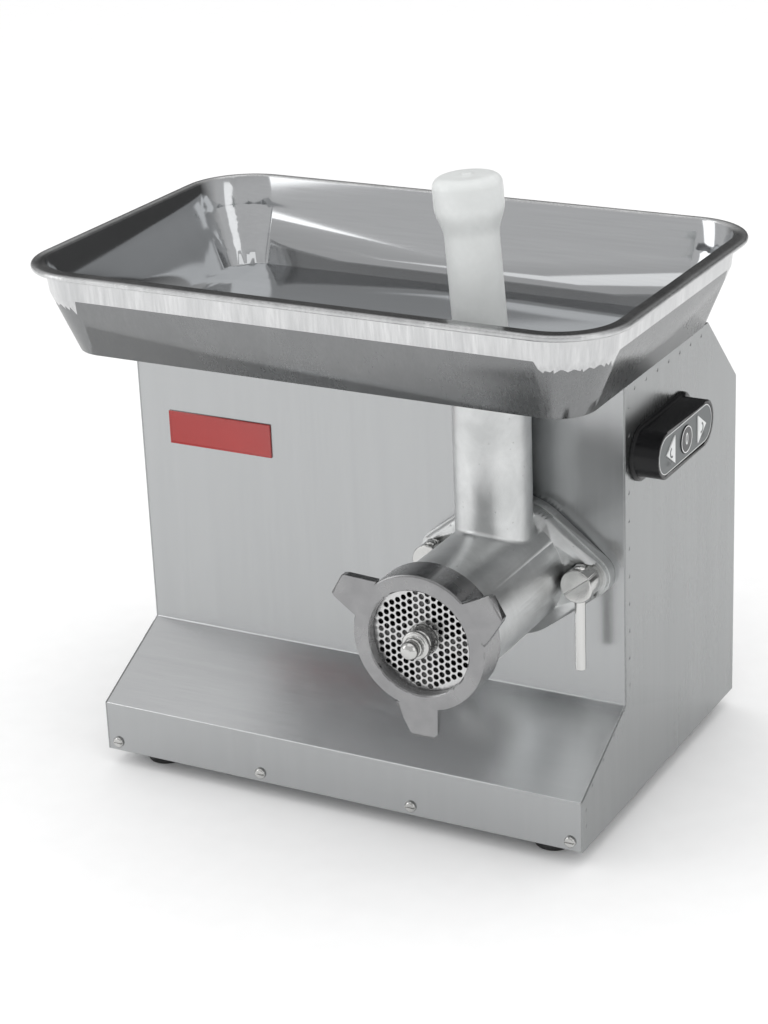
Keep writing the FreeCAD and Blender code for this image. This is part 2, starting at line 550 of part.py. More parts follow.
def worm_and_knife():
    core_front, core_back = size("worm_y"), size("bore_back") - 1.0
    centre = spot(size("head_x"), core_back, size("head_z"))
    forward = Vector(0, -1, 0)
    length = core_back - core_front
    core = Part.makeCylinder(size("worm_core_r"), length, centre, forward)
    turns_length = length - size("flight_t")
    helix = Part.makeHelix(size("worm_pitch"), turns_length, size("worm_core_r") - 2)
    thick = size("flight_t") / 2
    inner, outer = size("worm_core_r") - 2, size("worm_r")
    profile = Part.makePolygon([Vector(inner, 0, -thick), Vector(outer, 0, -thick * 0.5),
                                Vector(outer, 0, thick * 0.5), Vector(inner, 0, thick), Vector(inner, 0, -thick)])
    flight = Part.Wire(helix).makePipeShell([profile], True, True)
    flight.translate(Vector(0, 0, thick + 0.01))
    flight.Placement = Placement(centre, FRONT).multiply(flight.Placement)
    at = lambda y: ("head_x", y, "head_z")
    shank = rod("worm_shank", "shank_back_r", "flange_y + flange_t + spigot_len - 1 - bore_back + 5",
                at("flange_y + flange_t + spigot_len - 1"))
    tang = block("worm_tang", "tang_w", "tang_len + 5", "tang_w",
                 ("head_x - tang_w / 2", "flange_y + flange_t + spigot_len - 6", "head_z - tang_w / 2"))
    keep("worm", join("worm_whole", shape("worm_flight", flight), shape("worm_core", core), shank, tang))
    star = []
    for k in range(4):
        for part, radius in ((-0.42, "14"), (-0.13, "knife_r"), (0.2, "knife_r"), (0.3, "14")):
            angle = k * math.pi / 2 + part
            star.append((f"{radius} * {math.cos(angle):.5f}", f"{radius} * {math.sin(angle):.5f}"))
    blades = pad("knife_star", "XZ_Plane", star, "knife_t", at("knife_y + knife_t"))
    hub = rod("knife_hub", "pin_r + 8", "knife_t", at("knife_y + knife_t"))
    eye = rod("knife_eye", "pin_r + run", "knife_t + 4", at("knife_y + knife_t + 2"))
    keep("knife", cut("knife_cut", join("knife_cross", hub, blades), eye))
    keep("spindle_bush", lathe("spindle_bush_turned",
                               [("5.5", "0.5"), ("12.5", "0.5"), ("13", "1.2"), ("12.6", "3"), ("10.5", "7.5"),
                                ("9", "9"), ("5.5", "9")], at("plate_y"), FRONT))
    keep("spindle_nut", lathe("spindle_nut_turned",
                              [("5.5", "9"), ("11", "9"), ("11.6", "9.8"), ("11.6", "12"), ("10.8", "13"),
                               ("8.3", "13.4"), ("7.9", "17"), ("7.2", "18"), ("5.5", "18")], at("plate_y"), FRONT))
    keep("spindle_stud", lathe("spindle_stud_turned",
                               [("0", "plate_y - worm_y"), ("pin_r", "plate_y - worm_y"), ("pin_r", "0.4"),
                                ("5.5", "0.4"), ("5.5", "18.5"), ("7", "19.2"), ("7.6", "21"), ("7.2", "24"),
                                ("5.6", "26.2"), ("3.2", "27.4"), ("0", "27.8")], at("plate_y"), FRONT))


# ---------------------------------------------------------------- gears
def gear_wire(teeth, module, phase, y, centre_x):
    """Involute outline with 20 degree flanks, short tips and a little backlash."""
    pitch_r = module * teeth / 2
    base_r = pitch_r * math.cos(math.radians(20))
    tip_r, root_r = pitch_r + 0.85 * module, pitch_r - 1.2 * module
    backlash = 0.1
    half = math.pi / (2 * teeth) - backlash / pitch_r / 2
    inv = lambda r: math.tan(math.acos(base_r / r)) - math.acos(base_r / r)
    start = max(base_r, root_r) * 1.0001
    radii = [start + (tip_r - start) * k / 4 for k in range(5)]
    flank = [(r, half + inv(pitch_r) - inv(r)) for r in radii]
    if root_r < start:
        flank.insert(0, (root_r, flank[0][1]))
    points = []
    for tooth in range(teeth):
        middle = phase + tooth * math.tau / teeth
        points += [(r, middle - a) for r, a in flank]
        points += [(r, middle + a) for r, a in reversed(flank)]
    centre = spot(centre_x, y, size("head_z"))
    corners = [centre + Vector(r * math.cos(a), 0, r * math.sin(a)) for r, a in points]
    return Part.makePolygon(corners + [corners[0]])


def gear(name, teeth, module, phase, y, width, centre_x, bore):
    face = Part.Face(gear_wire(teeth, module, phase, y, centre_x))
    blank = face.extrude(Vector(0, width, 0))
    eye = Part.makeCylinder(bore, width + 2, spot(centre_x, y - 1, size("head_z")), Vector(0, 1, 0))
    return keep(name, shape(name + "_cut", blank.cut(eye)))


def gear_train():
    lay, motor, fast_y, slow_y = size("lay_x"), size("motor_x"), size("fast_y"), size("slow_y")
    gear("output_gear", TEETH["slow_wheel"], size("slow_module"), 0.0, slow_y, size("slow_w"), size("head_x"),
         size("shaft_r"))
    gear("layshaft_pinion", TEETH["slow_pinion"], size("slow_module"), math.pi / TEETH["slow_pinion"], slow_y,
         size("slow_w"), lay, size("lay_r"))
    gear("layshaft_gear", TEETH["fast_wheel"], size("fast_module"), 0.0, fast_y, size("fast_w"), lay, size("lay_r"))
    gear("motor_pinion", TEETH["fast_pinion"], size("fast_module"), math.pi / TEETH["fast_pinion"], fast_y,
         size("fast_w"), motor, size("rotor_r"))
    out_front = "flange_y + flange_t + spigot_len + 0.5"
    at = lambda y, x="head_x": (x, y, "head_z")
    out_len = f"gear_box_back + cover_t - 2 - ({out_front})"
    output = rod("output_bar", "shaft_r", out_len, at("gear_box_back + cover_t - 2"))
    socket = block("output_socket", "tang_w + 0.4", "tang_len + 2", "tang_w + 0.4",
                   ("head_x - tang_w / 2 - 0.2", f"{out_front} - 1", "head_z - tang_w / 2 - 0.2"))
    keep("output_shaft", cut("output_cut", output, socket))
    keep("layshaft", rod("lay_bar", "lay_r", "gear_box_back + cover_t - 2 - gear_box_y - gear_box_t - 1",
                         at("gear_box_back + cover_t - 2", "lay_x")))
    races = {"output": ("head_x", "shaft_r", "34"), "layshaft": ("lay_x", "lay_r", "24")}
    for word, (x, inner, outer) in races.items():
        rings = [lathe(f"{word}_race_{k}",
                       [(f"{inner} + run", "0"), (outer, "0"), (outer, "11"), (f"{inner} + run", "11")],
                       (x, y, "head_z"), BACK)
                 for k, y in enumerate(("gear_box_y + gear_box_t + 1", "gear_box_back + 1"))]
        keep(f"{word}_bearings", gather(f"{word}_bearing_set", *rings))
    keep("output_seal", lathe("seal_ring",
                              [("shaft_r + run", "0"), ("32", "0"), ("32", "5"), ("shaft_r + run", "5")],
                              at("gear_box_y + 1"), BACK))


def gearbox():
    low, tall = "head_z - box_half", "2 * box_half"
    outer = block("gearbox_outer", "gear_box_r - gear_box_l", "gear_box_back - gear_box_y", tall,
                  ("gear_box_l", "gear_box_y", low))
    cavity = block("gearbox_cavity", "gear_box_r - gear_box_l - 2 * gear_box_t", "100",
                   f"{tall} - 2 * gear_box_t", ("gear_box_l + gear_box_t", "gear_box_y + gear_box_t", f"{low} + gear_box_t"))
    hollow = cut("gearbox_hollow", outer, cavity)
    bosses = [rod(f"front_boss_{word}", radius, "13", (x, "gear_box_y + gear_box_t + 12", "head_z"))
              for word, x, radius in (("output", "head_x", "40"), ("lay", "lay_x", "30"))]
    body = join("gearbox_body", hollow, *bosses)
    bores = [rod("gearbox_seal_bore", "32", "60", ("head_x", "gear_box_y + 6", "head_z")),
             rod("gearbox_out_pass", "28", "60", ("head_x", "gear_box_y + 20", "head_z")),
             rod("gearbox_out_pocket", "34", "30", ("head_x", "gear_box_y + gear_box_t + 31", "head_z")),
             rod("gearbox_lay_pocket", "24", "30", ("lay_x", "gear_box_y + gear_box_t + 31", "head_z"))]
    keep("gearbox_housing", cut("gearbox_cut", body, *bores))
    cover = block("cover_blank", "gear_box_r - gear_box_l", "cover_t", tall, ("gear_box_l", "gear_box_back", low))
    seats = [rod("cover_out_seat", "34", "40", ("head_x", "gear_box_back + 12", "head_z")),
             rod("cover_lay_seat", "24", "40", ("lay_x", "gear_box_back + 12", "head_z")),
             rod("cover_motor_pass", "22", "60", ("motor_x", "gear_box_back + 40", "head_z"))]
    keep("gearbox_cover", cut("cover_cut", cover, *seats))
    stands = [pad(f"gearbox_stand_{k}", "YZ_Plane",
                  [("0", "0"), ("52", "0"), ("52", "4"), ("4", "4"), ("4", "head_z - box_half - 4 - base_t"),
                   ("52", "head_z - box_half - 4 - base_t"), ("52", "head_z - box_half - base_t"),
                   ("0", "head_z - box_half - base_t")],
                  "40", (x, "gear_box_y + 2", "base_t")) for k, x in enumerate(("gear_box_l + 10", "gear_box_r - 60"))]
    keep("gearbox_stands", gather("stand_set", *stands))


def motor():
    at = lambda y: ("motor_x", y, "head_z")
    frame = lathe("motor_tube", [("motor_r - 6", "0"), ("motor_r", "0"), ("motor_r", "motor_len"),
                                 ("motor_r - 6", "motor_len")], at("motor_y"), BACK)
    keep("motor_frame", frame)
    keep("stator", lathe("stator_core", [("43", "20"), ("motor_r - 6", "20"), ("motor_r - 6", "motor_len - 24"),
                                         ("43", "motor_len - 24")], at("motor_y"), BACK))
    bearings, length = [], "motor_bell_t"
    front = lathe("front_bell", [("16", "0"), ("motor_r - 6", "0"), ("motor_r - 6", length), ("16", length)],
                  at("motor_y"), BACK)
    keep("motor_front_bell", front)
    rear = lathe("rear_bell", [("16", "0"), ("motor_r", "0"), ("motor_r", length), ("16", length)],
                 at("motor_back"), BACK)
    keep("motor_rear_bell", rear)
    for k, y in enumerate(("motor_y", "motor_back")):
        bearings.append(lathe(f"motor_race_{k}", [("rotor_r + run", "0"), ("16", "0"), ("16", length),
                                                  ("rotor_r + run", length)], at(y), BACK))
    keep("motor_bearings", gather("motor_bearing_set", *bearings))
    keep("rotor_shaft", rod("rotor_bar", "rotor_r", "motor_back + motor_bell_t + 4 + fan_w - fast_y + 1",
                            at("motor_back + motor_bell_t + 4 + fan_w")))
    keep("rotor_core", lathe("rotor_stack", [("rotor_r", "22"), ("42", "22"), ("42", "motor_len - 26"),
                                             ("rotor_r", "motor_len - 26")], at("motor_y"), BACK))
    fan_hub = rod("fan_hub", "20", "fan_w", at("motor_back + motor_bell_t + 3 + fan_w"))
    blades = []
    for k in range(8):
        made = Part.makeBox(2.5, size("fan_w"), size("fan_r") - 15,
                            spot(size("motor_x") - 1.25, size("motor_back") + size("motor_bell_t") + 3,
                                 size("head_z") + 15))
        made.rotate(spot(size("motor_x"), 0, size("head_z")), Vector(0, 1, 0), 45 * k)
        blades.append(shape(f"fan_blade_{k}", made))
    eye = rod("fan_eye", "rotor_r", "60", at("motor_back + 60"))
    keep("cooling_fan", cut("fan_cut", join("fan_whole", fan_hub, *blades), eye))
    cowl = lathe("cowl_cup", [("motor_r - 1.5", "0"), ("motor_r", "0"), ("motor_r", "cowl_len"),
                              ("25", "cowl_len"), ("25", "cowl_len - 1.5"), ("motor_r - 1.5", "cowl_len - 1.5")],
                 at("motor_back + motor_bell_t"), BACK)
    keep("fan_cowl", cowl)
    cradle = block("cradle_blank", "100", "30", "head_z - base_t - 20", ("motor_x - 50", "motor_y + 50", "base_t"))
    saddle = rod("cradle_saddle", "motor_r", "60", at("motor_y + 100"))
    window = block("cradle_window", "60", "40", "70", ("motor_x - 30", "motor_y + 45", "base_t + 10"))
    keep("motor_cradle", cut("cradle_cut", cradle, saddle, window))


# ---------------------------------------------------------------- electrics
def pill(name, length, tall, depth, x):
    """A flat-topped housing with half-round ends, lying along Y on the right side panel."""
    r = tall / 2
    centre = spot(x, size("switch_y"), size("switch_z"))
    half = length / 2 - r
    bar = Part.makeBox(depth, 2 * half, tall, centre + Vector(0, -half, -r))
    ends = [Part.makeCylinder(r, depth, centre + Vector(0, s * half, 0), Vector(1, 0, 0)) for s in (1, -1)]
    return bar.fuse(ends).removeSplitter()


def arrow(grow, x, depth, side):
    """A triangular button or its opening, with its point away from the middle of the switch."""
    centre = spot(x, size("switch_y"), size("switch_z"))
    near, far, half = size("arrow_near") - grow, size("arrow_far") + 1.6 * grow, size("arrow_half") + 1.4 * grow
    corners = [Vector(0, side * near, half), Vector(0, side * far, 0), Vector(0, side * near, -half)]
    loop = Part.makePolygon([centre + c for c in corners] + [centre + corners[0]])
    return Part.Face(loop).extrude(Vector(depth, 0, 0))


def button_shapes(start, depth, grow):
    """The three buttons, or the holes they move in: left arrow, right arrow and the round one between them."""
    centre = spot(start, size("switch_y"), size("switch_z"))
    middle = Part.makeCylinder(size("stop_r") + grow, depth, centre, Vector(1, 0, 0))
    return [arrow(grow, start, depth, -1), arrow(grow, start, depth, 1), middle]


def switch():
    w, out, t = size("housing_w"), size("switch_out"), size("face_t")
    length, tall, rim = size("switch_l"), size("switch_tall"), size("switch_rim")
    deep, clear, inset = size("button_deep"), size("slip") + 0.1, size("face_rim")
    body = pill("switch_body", length, tall, out, w)
    body = body.fuse(pill("switch_flange", length + 2 * rim, tall + 2 * rim, size("switch_rim_t"), w))
    body = body.removeSplitter()
    body = body.cut(pill("switch_hollow", length - 8, tall - 8, out - t - 2 - deep, w))
    body = body.cut(pill("switch_recess", length - 2 * inset, tall - 2 * inset, t + 1, w + out - t))
    body = body.cut(Part.makeCompound(button_shapes(w + out - t - deep, deep + 1, clear)))
    shell = shape("switch_shell", body)
    face = pill("switch_plate", length - 2 * inset - 0.4, tall - 2 * inset - 0.4, t - 0.2, w + out - t)
    face = face.cut(Part.makeCompound(button_shapes(w + out - t - 1, t + 2, clear)))
    keep("switch_face", shape("switch_overlay", face))
    cap = 3.5
    caps = button_shapes(w + out + size("button_out") - cap, cap, 0.0)
    for name, made in zip(("forward_button", "reverse_button", "stop_button"), caps):
        keep(name, shape(name + "_cap", made))
    board = block("board_blank", "1.6", "switch_l - 24", "switch_tall - 16",
                  ("housing_w - wall - 9.6", "switch_y - switch_l / 2 + 12", "switch_z - switch_tall / 2 + 8"))
    post_y = [f"switch_y + ({side}) * (switch_l / 2 - 7)" for side in (1, -1)]
    posts = [rod(f"board_post_{k}", "2.5", "8", ("housing_w - wall - 8", y, "switch_z"), RIGHT)
             for k, y in enumerate(post_y)]
    tabs = [block(f"board_tab_{k}", "1.6", "12", "8", ("housing_w - wall - 9.6", f"{y} - 6", "switch_z - 4"))
            for k, y in enumerate(post_y)]
    keep("switch_housing", join("switch_whole", shell, *posts))
    keep("control_board", join("board_whole", board, *tabs))


def electrics():
    keep("run_capacitor", lathe("capacitor_can", [("0", "0"), ("20", "0"), ("22", "2"), ("22", "86"), ("20", "88"),
                                                  ("0", "88")], ("80", "170", "base_t + 22"), BACK))
    contactor = block("contactor_blank", "45", "70", "60", ("70", "96", "base_t"))
    keep("contactor", contactor)
    keep("cable_gland", lathe("gland_turned",
                              [("gland_bore", "0 - 12"), ("gland_r - 3", "0 - 12"), ("gland_r - 3", "0"),
                               ("gland_r", "0"), ("gland_r", "6"), ("gland_r - 1", "7"), ("gland_r - 1", "12"),
                               ("gland_r - 3", "gland_out"), ("gland_bore", "gland_out")],
                              ("gland_x", "back_y", "gland_z"), BACK))
    keep("gland_nut", lathe("gland_nut_turned",
                            [("gland_r - 3", "0"), ("gland_r + 1", "0"), ("gland_r + 1", "5"), ("gland_r - 3", "5")],
                            ("gland_x", "back_y - wall - 5", "gland_z"), BACK))


# ---------------------------------------------------------------- pusher
def pusher():
    """Turned plunger that leans in the throat until its foot and its side touch the bore."""
    top = "pusher_top - pusher_foot"
    knob = []
    for k in range(7):
        part = k / 6
        ease = (1 - math.cos(math.pi * part)) / 2
        knob.append((f"pusher_r + {ease:.4f} * (pusher_knob_r - pusher_r)",
                     f"{top} - pusher_knob_h - 20 + {part:.4f} * 24"))
    for k in range(7):
        angle = math.pi / 2 * k / 6
        knob.append((f"pusher_knob_r - 9 + 9 * {math.cos(angle):.4f}", f"{top} - 9.5 + 8 * {math.sin(angle):.4f}"))
    knob += [("4.5", f"{top} - 1.2"), ("4", top), ("0", top)]
    turned = lathe("pusher_turned", [("0", "0"), ("pusher_r - 1.5", "0"), ("pusher_r", "1.5")] + knob,
                   ("head_x", "neck_y", "pusher_foot"), UP)
    doc.recompute()
    made = turned.Shape.copy()
    middle = (size("pusher_foot") + size("housing_h")) / 2
    made.rotate(spot(size("head_x"), size("neck_y"), middle), Vector(0, 1, 0), -size("pusher_lean"))
    keep("pusher", shape("pusher_leaned", made))


def main():
    housing()
    small_parts()
    tray()
    head()
    worm_and_knife()
    gear_train()
    gearbox()
    motor()
    switch()
    electrics()
    pusher()
    doc.recompute()
    failed = [o.Name for o in doc.Objects if {"Invalid", "Error"} & set(o.State)]
    if failed:
        raise RuntimeError(f"these objects failed: {failed}")
    os.makedirs("parts", exist_ok=True)
    for name, piece in nodes.items():
        if piece.Shape.isNull() or not piece.Shape.isValid():
            raise RuntimeError(f"{name} has no valid shape")
        piece.Shape.exportStep(f"parts/{name}.step")
        print(name, len(piece.Shape.Solids), round(sum(s.Volume for s in piece.Shape.Solids)))


main()
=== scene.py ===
# %% [markdown]
# # An electric meat grinder, finished and lit
# The machine was drawn in CAD and packed as named pieces. This lesson loads those pieces, gives each one a finish
# that suits how the real one is made, remodels the ones whose rounded edges and rolled rims carry the look, and
# sets up a pale studio. Every length is in metres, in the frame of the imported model.

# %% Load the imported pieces
import bpy
import json
import math
import mathutils
from mathutils import Matrix, Vector


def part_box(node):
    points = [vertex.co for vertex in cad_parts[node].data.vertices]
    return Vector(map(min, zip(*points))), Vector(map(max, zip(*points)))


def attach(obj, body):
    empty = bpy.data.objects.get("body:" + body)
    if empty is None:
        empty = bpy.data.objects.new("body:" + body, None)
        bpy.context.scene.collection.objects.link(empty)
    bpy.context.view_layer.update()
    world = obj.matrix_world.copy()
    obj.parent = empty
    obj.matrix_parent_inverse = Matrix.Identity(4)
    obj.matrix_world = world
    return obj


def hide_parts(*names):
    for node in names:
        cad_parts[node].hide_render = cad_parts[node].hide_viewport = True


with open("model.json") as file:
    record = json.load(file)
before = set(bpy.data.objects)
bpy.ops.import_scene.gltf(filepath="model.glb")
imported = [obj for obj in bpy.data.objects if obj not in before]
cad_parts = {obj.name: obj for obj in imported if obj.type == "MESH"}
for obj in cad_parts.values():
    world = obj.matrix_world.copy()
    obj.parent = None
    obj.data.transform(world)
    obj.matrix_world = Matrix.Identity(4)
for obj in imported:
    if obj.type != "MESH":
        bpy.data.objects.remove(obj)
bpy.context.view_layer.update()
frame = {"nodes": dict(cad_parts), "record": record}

# %% [markdown]
# ## Where the main pieces are
# The grinding head's axis and the neck's axis place most of the turned parts. Both are read from the boxes of
# pieces that are round about them, so the scene follows the CAD model if a size there changes.

# %% Main places
plate_low, plate_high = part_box("cutter_plate")
HEAD = (plate_low + plate_high) / 2
PLATE_R = (plate_high.x - plate_low.x) / 2
FRONT_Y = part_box("ring_nut")[0].y
tray_low, tray_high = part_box("feed_tray")
TRAY = (tray_low + tray_high) / 2
front_low, front_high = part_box("front_cover")
switch_low, switch_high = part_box("switch_housing")
print("head axis at", [round(v, 4) for v in HEAD], "plate radius", round(PLATE_R, 4))


# %% [markdown]
# ## A merged copy of a CAD piece
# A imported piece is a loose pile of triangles, so light breaks at each one. A copy whose doubled corners are merged
# can be shaded smooth up to a chosen angle: turned faces then look round and sharp edges stay sharp. The copy
# stands for the CAD piece in the picture, while the CAD piece stays for collision.

# %% Smooth copies
def only(piece):
    """Makes one piece the only selected and active one."""
    if bpy.context.mode != "OBJECT":
        bpy.ops.object.mode_set(mode="OBJECT")
    bpy.ops.object.select_all(action="DESELECT")
    piece.select_set(True)
    bpy.context.view_layer.objects.active = piece


def dress(piece, body, node=None):
    """Lets a finished piece ride on its body and stand for its CAD node."""
    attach(piece, body)
    if node:
        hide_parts(node)
    return piece


BODY_OF = {node: body for body, members in frame["record"]["behaviour"]["bodies"].items() for node in members}
SLOT_OF = {entry["node"]: entry["material_slot"] for entry in frame["record"]["subparts"]}


def weigh_normals(piece):
    """Lets large flat faces keep their own light, so a fillet beside them takes the whole turn."""
    only(piece)
    bpy.ops.object.modifier_add(type="WEIGHTED_NORMAL")
    piece.modifiers[-1].keep_sharp = True
    bpy.ops.object.modifier_apply(modifier=piece.modifiers[-1].name)


def smooth_copy(node, angle=32):
    """A merged, smoothly shaded copy of a CAD node."""
    mesh = frame["nodes"][node].data.copy()
    piece = bpy.data.objects.new(node + "_finish", mesh)
    bpy.context.scene.collection.objects.link(piece)
    only(piece)
    bpy.ops.object.mode_set(mode="EDIT")
    bpy.ops.mesh.select_all(action="SELECT")
    bpy.ops.mesh.remove_doubles(threshold=0.00001)
    bpy.ops.object.mode_set(mode="OBJECT")
    bpy.ops.object.shade_smooth_by_angle(angle=math.radians(angle))
    weigh_normals(piece)
    return dress(piece, BODY_OF[node], node)


# %% [markdown]
# ## Effects that several finishes share
# Each is a node group with named sockets. *Grain* stretches noise along one direction, as a brushing belt leaves
# it. *Handling* is a large cloudy mask of smudges and dust. *Lathe marks* are fine rings about an axis. *Pits* are
# the small holes of a casting. *Soft edge* rounds the light on edges, because no real edge is perfectly sharp.

# %% Helpers for node trees
def group(name, inputs, outputs):
    """An empty node group with the given sockets."""
    tree = bpy.data.node_groups.new(name, "ShaderNodeTree")
    for label, kind, default in inputs:
        socket = tree.interface.new_socket(name=label, in_out="INPUT", socket_type="NodeSocket" + kind)
        if default is not None:
            socket.default_value = default
    for label, kind in outputs:
        tree.interface.new_socket(name=label, in_out="OUTPUT", socket_type="NodeSocket" + kind)
    return tree, tree.nodes.new("NodeGroupInput"), tree.nodes.new("NodeGroupOutput")


def node(tree, kind, wires=None, **settings):
    """A node with its settings, and its inputs either wired or set."""
    made = tree.nodes.new("ShaderNode" + kind)
    for key, value in settings.items():
        setattr(made, key, value)
    for socket, value in (wires or {}).items():
        if isinstance(value, bpy.types.NodeSocket):
            tree.links.new(value, made.inputs[socket])
        else:
            made.inputs[socket].default_value = value
    return made


# %% Shared groups
def grain_group():
    tree, put, out = group("Grain", [("Vector", "Vector", None), ("Stretch", "Vector", (1.0, 1.0, 1.0)),
                                     ("Scale", "Float", 400.0)], [("Lines", "Float"), ("Broad", "Float")])
    stretched = node(tree, "VectorMath", {0: put.outputs["Vector"], 1: put.outputs["Stretch"]}, operation="MULTIPLY")
    fine = node(tree, "TexNoise", {"Vector": stretched.outputs[0], "Scale": put.outputs["Scale"], "Detail": 3.0})
    less = node(tree, "Math", {0: put.outputs["Scale"], 1: 0.12}, operation="MULTIPLY")
    broad = node(tree, "TexNoise", {"Vector": stretched.outputs[0], "Scale": less.outputs[0], "Detail": 2.0})
    tree.links.new(fine.outputs[0], out.inputs["Lines"])
    tree.links.new(broad.outputs[0], out.inputs["Broad"])
    return tree


def handling_group():
    tree, put, out = group("Handling", [("Vector", "Vector", None), ("Scale", "Float", 8.0)], [("Mask", "Float")])
    clouds = node(tree, "TexNoise", {"Vector": put.outputs["Vector"], "Scale": put.outputs["Scale"], "Detail": 6.0,
                                     "Roughness": 0.62, "Distortion": 0.4})
    ramp = node(tree, "MapRange", {"Value": clouds.outputs[0], "From Min": 0.35, "From Max": 0.7})
    tree.links.new(ramp.outputs[0], out.inputs["Mask"])
    return tree


def lathe_group():
    tree, put, out = group("Lathe marks", [("Vector", "Vector", None), ("Centre", "Vector", (0.0, 0.0, 0.0)),
                                           ("Flatten", "Vector", (1.0, 0.0, 1.0)), ("Pitch", "Float", 2500.0)],
                           [("Rings", "Float"), ("Radius", "Float")])
    away = node(tree, "VectorMath", {0: put.outputs["Vector"], 1: put.outputs["Centre"]}, operation="SUBTRACT")
    flat = node(tree, "VectorMath", {0: away.outputs[0], 1: put.outputs["Flatten"]}, operation="MULTIPLY")
    radius = node(tree, "VectorMath", {0: flat.outputs[0]}, operation="LENGTH")
    row = node(tree, "CombineXYZ", {"X": radius.outputs["Value"]})
    rings = node(tree, "TexNoise", {"Vector": row.outputs[0], "Scale": put.outputs["Pitch"], "Detail": 2.0})
    tree.links.new(rings.outputs[0], out.inputs["Rings"])
    tree.links.new(radius.outputs["Value"], out.inputs["Radius"])
    return tree


def pits_group():
    tree, put, out = group("Pits", [("Vector", "Vector", None), ("Scale", "Float", 90.0), ("Size", "Float", 0.12)],
                           [("Mask", "Float")])
    warp = node(tree, "TexNoise", {"Vector": put.outputs["Vector"], "Scale": 60.0, "Detail": 2.0})
    mixed = node(tree, "VectorMath", {0: warp.outputs["Color"], 1: (0.004, 0.004, 0.004), 2: put.outputs["Vector"]},
                 operation="MULTIPLY_ADD")
    cells = node(tree, "TexVoronoi", {"Vector": mixed.outputs[0], "Scale": put.outputs["Scale"]})
    inside = node(tree, "Math", {0: put.outputs["Size"], 1: cells.outputs["Distance"]}, operation="SUBTRACT")
    scaled = node(tree, "Math", {0: inside.outputs[0], 1: put.outputs["Size"]}, operation="DIVIDE")
    kept = node(tree, "Math", {0: scaled.outputs[0], 1: 0.0}, operation="MAXIMUM")
    tree.links.new(kept.outputs[0], out.inputs["Mask"])
    return tree


def edge_group():
    tree, put, out = group("Soft edge", [("Radius", "Float", 0.0006)], [("Normal", "Vector"), ("Edge", "Float")])
    soft = node(tree, "Bevel", {"Radius": put.outputs["Radius"]}, samples=4)
    plain = node(tree, "NewGeometry")
    align = node(tree, "VectorMath", {0: soft.outputs[0], 1: plain.outputs["Normal"]}, operation="DOT_PRODUCT")
    edge = node(tree, "MapRange", {"Value": align.outputs["Value"], "From Min": 1.0, "From Max": 0.85})
    tree.links.new(soft.outputs[0], out.inputs["Normal"])
    tree.links.new(edge.outputs[0], out.inputs["Edge"])
    return tree


GRAIN, HANDLING, LATHE, PITS, EDGE = grain_group(), handling_group(), lathe_group(), pits_group(), edge_group()
print("shared groups:", [g.name for g in bpy.data.node_groups])


# %% [markdown]
# ## Building a finish
# A finish is one Principled shader. Its colour, roughness and height vary over the surface through the groups, and
# whatever is constant, such as metallic or coat, is set straight on the shader.

# %% The finish builder
def use(tree, effect, wires=None):
    made = tree.nodes.new("ShaderNodeGroup")
    made.node_tree = effect
    for socket, value in (wires or {}).items():
        if isinstance(value, bpy.types.NodeSocket):
            tree.links.new(value, made.inputs[socket])
        else:
            made.inputs[socket].default_value = value
    return made


def start(name, **settings):
    """A material with a Principled shader whose constant values are set on its own sockets."""
    made = bpy.data.materials.new(name)
    made.use_nodes = True
    shader = made.node_tree.nodes["Principled BSDF"]
    for key, value in settings.items():
        shader.inputs[key.replace("_", " ")].default_value = value
    place = made.node_tree.nodes.new("ShaderNodeTexCoord").outputs["Object"]
    return made, made.node_tree, shader, place


def blend(tree, amount, low, high):
    """A value that runs from low to high as amount runs from 0 to 1."""
    return node(tree, "MapRange", {"Value": amount, "To Min": low, "To Max": high}).outputs[0]


def tint(tree, amount, low, high):
    """A colour that runs from low to high as amount runs from 0 to 1."""
    mixed = node(tree, "Mix", {0: amount, 6: (*low, 1), 7: (*high, 1)}, data_type="RGBA")
    return mixed.outputs[2]


def relief(tree, shader, height, distance, radius=0.0006, strength=1.0):
    """Soft edges and a bump for the shader's normal."""
    soft = use(tree, EDGE, {"Radius": radius})
    bump = node(tree, "Bump", {"Height": height, "Distance": distance, "Strength": strength,
                               "Normal": soft.outputs["Normal"]})
    tree.links.new(bump.outputs[0], shader.inputs["Normal"])
    return soft.outputs["Edge"]


def steel(name, low, high, rough, stretch, scale=400.0, depth=0.00002, anisotropic=0.0, radius=0.0006, smudge=7.0):
    """Brushed or satin sheet: long grain, cloudy handling marks and brighter edges."""
    made, tree, shader, place = start(name, Metallic=1.0, Anisotropic=anisotropic)
    lines = use(tree, GRAIN, {"Vector": place, "Stretch": stretch, "Scale": scale})
    marks = use(tree, HANDLING, {"Vector": place, "Scale": smudge})
    both = node(tree, "Math", {0: lines.outputs["Lines"], 1: lines.outputs["Broad"]}, operation="MULTIPLY")
    tree.links.new(tint(tree, both.outputs[0], low, high), shader.inputs["Base Color"])
    varied = node(tree, "Math", {0: lines.outputs["Lines"], 1: marks.outputs["Mask"]}, operation="ADD")
    tree.links.new(blend(tree, varied.outputs[0], rough[0], rough[1]), shader.inputs["Roughness"])
    relief(tree, shader, lines.outputs["Lines"], depth, radius)
    return made


# %% [markdown]
# ## Finishes of the machine
# The housing and tray are stainless sheet with a fine grain, the head is blasted cast steel with pits, and the ring
# nut, plate and knobs are turned. The rest is rubber, enamel, moulded plastic and cast aluminium.

